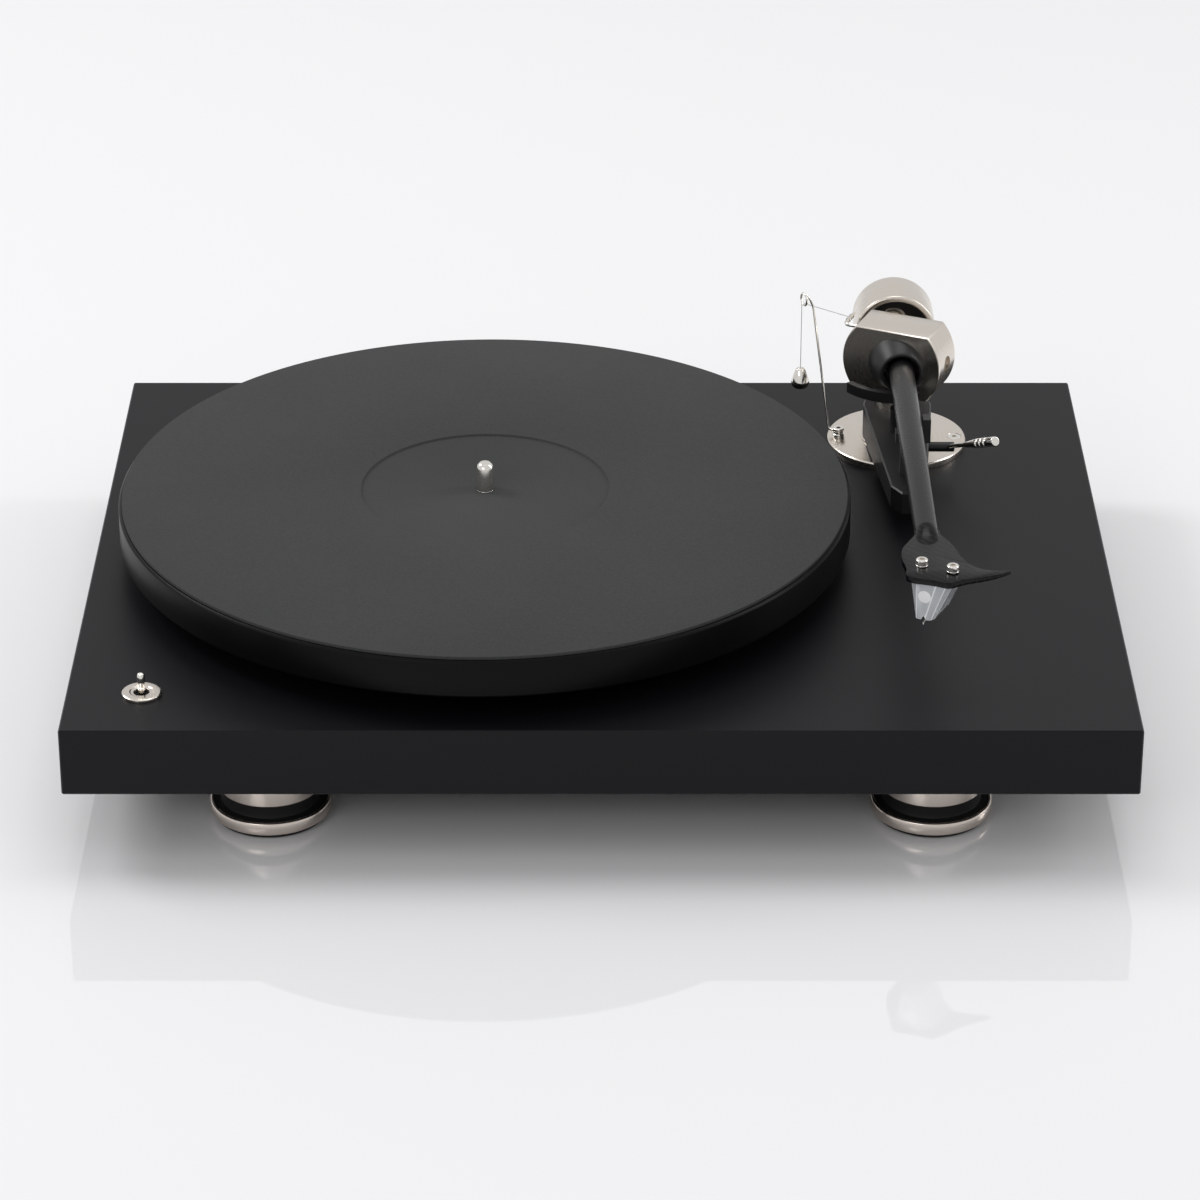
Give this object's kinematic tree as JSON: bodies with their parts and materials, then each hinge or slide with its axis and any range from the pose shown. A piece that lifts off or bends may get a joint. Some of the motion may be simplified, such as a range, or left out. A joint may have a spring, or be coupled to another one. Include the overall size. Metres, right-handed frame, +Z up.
{
  "type": "turntable record player",
  "caption": "Belt-drive record player: black plinth on round feet, felt-topped platter, carbon tonearm with angled headshell, hanging antiskate weight and cue lever.",
  "frame": {"origin": "on the floor, under the middle of the plinth", "axes": "+X to the operator's right, along the plinth's long side, where the tonearm stands; +Y to the back, where the sockets are; +Z up"},
  "size_m": [0.415, 0.32, 0.1204],
  "materials": {
    "plinth_black": "satin",
    "platter_black": "satin",
    "felt_grey": "matte",
    "soft_black": "satin",
    "nickel_satin": "satin",
    "nickel_bright": "polished",
    "steel": "polished",
    "weight_steel": "satin",
    "steel_dark": "satin",
    "brass": "polished",
    "rubber_black": "matte",
    "carbon": "satin",
    "shell_black": "polished",
    "cartridge_clear": "polished",
    "plastic_black": "matte",
    "plastic_white": "satin",
    "board_green": "satin",
    "nylon": "matte"
  },
  "bodies": {
    "plinth_body": {"plinth": "plinth_black", "underside_cover": "soft_black", "underside_screws": "steel_dark", "motor_body": "steel", "motor_mount": "soft_black", "control_board": "board_green", "switch_bezel": "nickel_bright", "switch_body": "plastic_black", "power_inlet": "plastic_black", "terminal_box": "soft_black", "signal_socket_shells": "brass", "signal_socket_insulators": "plastic_white", "ground_terminal": "brass", "bearing_housing": "steel", "bearing_bush": "brass", "drive_belt": "rubber_black", "arm_base_disc": "nickel_satin", "arm_base_screws": "steel", "arm_pillar": "nickel_satin", "pillar_nut": "brass", "yaw_bearings": "steel", "lift_bracket": "soft_black", "lift_tower": "soft_black", "arm_rest": "plastic_black", "antiskate_post": "nickel_bright", "antiskate_wire": "nickel_bright"},
    "platter_body": {"platter": "platter_black", "platter_mat": "felt_grey", "platter_damping_ring": "rubber_black", "sub_platter": "plastic_black", "spindle": "steel"},
    "pulley_body": {"motor_pulley": "brass", "motor_shaft": "steel"},
    "yaw_body": {"bearing_block": "nickel_satin", "block_collar": "soft_black", "yaw_spindle": "steel", "pitch_screws": "nickel_bright", "antiskate_stub": "nickel_bright"},
    "arm_body": {"arm_tube": "carbon", "headshell": "shell_black", "cartridge_body": "cartridge_clear", "stylus_assembly": "cartridge_clear", "headshell_screws": "steel", "weight_stem": "nickel_satin"},
    "counterweight_body": {"counterweight": "weight_steel"},
    "lift_body": {"lift_platform": "soft_black"},
    "cue_body": {"cue_hub": "soft_black", "cue_lever": "nickel_bright"},
    "antiskate_weight_body": {"antiskate_weight": "nickel_satin", "antiskate_thread": "nylon"},
    "toggle_body": {"toggle_lever": "nickel_bright"},
    "foot_body_front_left": {"foot_rubber_front_left": "rubber_black", "foot_disc_front_left": "nickel_satin", "foot_collar_front_left": "nickel_satin"},
    "foot_body_front_right": {"foot_rubber_front_right": "rubber_black", "foot_disc_front_right": "nickel_satin", "foot_collar_front_right": "nickel_satin"},
    "foot_body_rear": {"foot_rubber_rear": "rubber_black", "foot_disc_rear": "nickel_satin", "foot_collar_rear": "nickel_satin"}
  },
  "joints": [
    {"name": "platter_spin", "type": "hinge", "parent": "plinth_body", "child": "platter_body", "pos_m": [-0.0475, 0, 0.0823], "axis": [0, 0, 1], "continuous": true},
    {"name": "pulley_spin", "type": "hinge", "parent": "plinth_body", "child": "pulley_body", "pos_m": [-0.1195, -0.07, 0.0563], "axis": [0, 0, 1], "continuous": true},
    {"name": "arm_yaw", "type": "hinge", "parent": "plinth_body", "child": "yaw_body", "pos_m": [0.1275, 0.0978, 0.0973], "axis": [0, 0, 1], "range_deg": [-46, 0]},
    {"name": "arm_pitch", "type": "hinge", "parent": "yaw_body", "child": "arm_body", "pos_m": [0.1275, 0.0978, 0.0973], "axis": [-0.9135, 0.4067, 0], "range_deg": [0, 4]},
    {"name": "counterweight_slide", "type": "slide", "parent": "arm_body", "child": "counterweight_body", "axis": [0, 0.9996, -0.0279], "range_m": [-0.004, 0.004]},
    {"name": "cue_lever_turn", "type": "hinge", "parent": "plinth_body", "child": "cue_body", "pos_m": [0.1425, 0.07, 0.0673], "axis": [-1, 0, 0], "range_deg": [0, 50]},
    {"name": "lift_rise", "type": "slide", "parent": "plinth_body", "child": "lift_body", "axis": [0, 0, 1], "range_m": [0, 0.0018]},
    {"name": "antiskate_weight_slide", "type": "slide", "parent": "plinth_body", "child": "antiskate_weight_body", "axis": [0, 0, 1], "range_m": [0, 0.0234], "deforming": ["antiskate_thread"]},
    {"name": "power_toggle", "type": "hinge", "parent": "plinth_body", "child": "toggle_body", "pos_m": [-0.178, -0.1305, 0.0541], "axis": [1, 0, 0], "range_deg": [-12, 12]},
    {"name": "foot_level_front_left", "type": "slide", "parent": "plinth_body", "child": "foot_body_front_left", "axis": [0, 0, -1], "range_m": [0, 0.004]},
    {"name": "foot_level_front_right", "type": "slide", "parent": "plinth_body", "child": "foot_body_front_right", "axis": [0, 0, -1], "range_m": [0, 0.004]},
    {"name": "foot_level_rear", "type": "slide", "parent": "plinth_body", "child": "foot_body_rear", "axis": [0, 0, -1], "range_m": [0, 0.004]}
  ],
  "couplings": [
    {"joint": "pulley_spin", "follows": "platter_spin", "ratio": 10},
    {"joint": "cue_lever_turn", "follows": "arm_pitch", "ratio": 12.5},
    {"joint": "lift_rise", "follows": "arm_pitch", "m_per_rad": 0.0238},
    {"joint": "antiskate_weight_slide", "follows": "arm_yaw", "m_per_rad": -0.02886}
  ]
}
